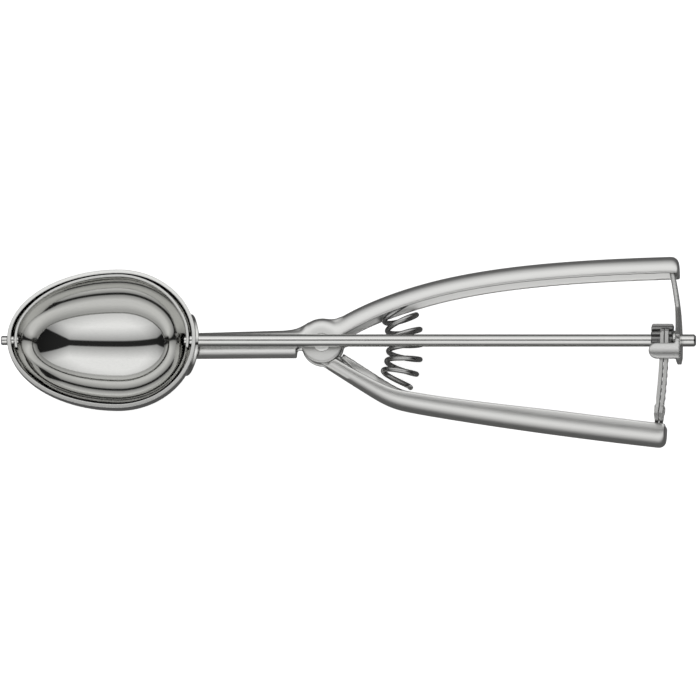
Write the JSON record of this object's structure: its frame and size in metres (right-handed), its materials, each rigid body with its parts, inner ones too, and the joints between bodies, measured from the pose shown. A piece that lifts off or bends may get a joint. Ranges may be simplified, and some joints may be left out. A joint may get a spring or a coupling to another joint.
{
  "type": "lever ice cream scoop",
  "caption": "Squeeze-handled ice cream scoop: egg-shaped steel bowl with a sweeping blade driven by a rod, pinion and rack.",
  "frame": {"origin": "centre of the bowl's mouth, on the plane of its rim", "axes": "+X from the bowl to the handle ends along the rod, +Y to the upper handle, +Z out of the bowl's mouth"},
  "size_m": [0.2255, 0.063, 0.0324],
  "materials": {
    "mirror_steel": "mirror polished stainless steel",
    "satin_steel": "satin polished stainless steel",
    "rod_steel": "ground and polished stainless bar",
    "pinion_steel": "darker machined steel",
    "rack_steel": "blanked stainless sheet",
    "spring_steel": "drawn spring wire, darker"
  },
  "bodies": {
    "frame": {"bowl": "mirror_steel", "saddle_plate": "mirror_steel", "upper_handle": "satin_steel", "pivot_rivet": "satin_steel", "guide_arm": "satin_steel", "handle_spring": "spring_steel"},
    "lever": {"lower_handle": "satin_steel", "rack_plate_front": "rack_steel", "rack_plate_rear": "rack_steel", "rack_rivet_upper": "rack_steel", "rack_rivet_lower": "rack_steel"},
    "sweep": {"rod": "rod_steel", "pinion": "pinion_steel", "scraper_blade": "mirror_steel", "front_pin": "rod_steel", "front_washer": "rod_steel", "tenon_head": "rod_steel", "thrust_washer": "rod_steel"}
  },
  "joints": [
    {"name": "lever_squeeze", "type": "hinge", "parent": "frame", "child": "lever", "pos_m": [0.07115, 0, -0.0095], "axis": [0, 0, 1], "range_deg": [0, 7.25], "stiffness_Nm_per_rad": 2, "springref_deg": -5.73, "deforming": ["handle_spring"]},
    {"name": "blade_sweep", "type": "hinge", "parent": "frame", "child": "sweep", "pos_m": [0.1, 0, -0.003], "axis": [1, 0, 0], "range_deg": [-170, 0]}
  ],
  "couplings": [
    {"joint": "blade_sweep", "follows": "lever_squeeze", "ratio": -23.333}
  ]
}
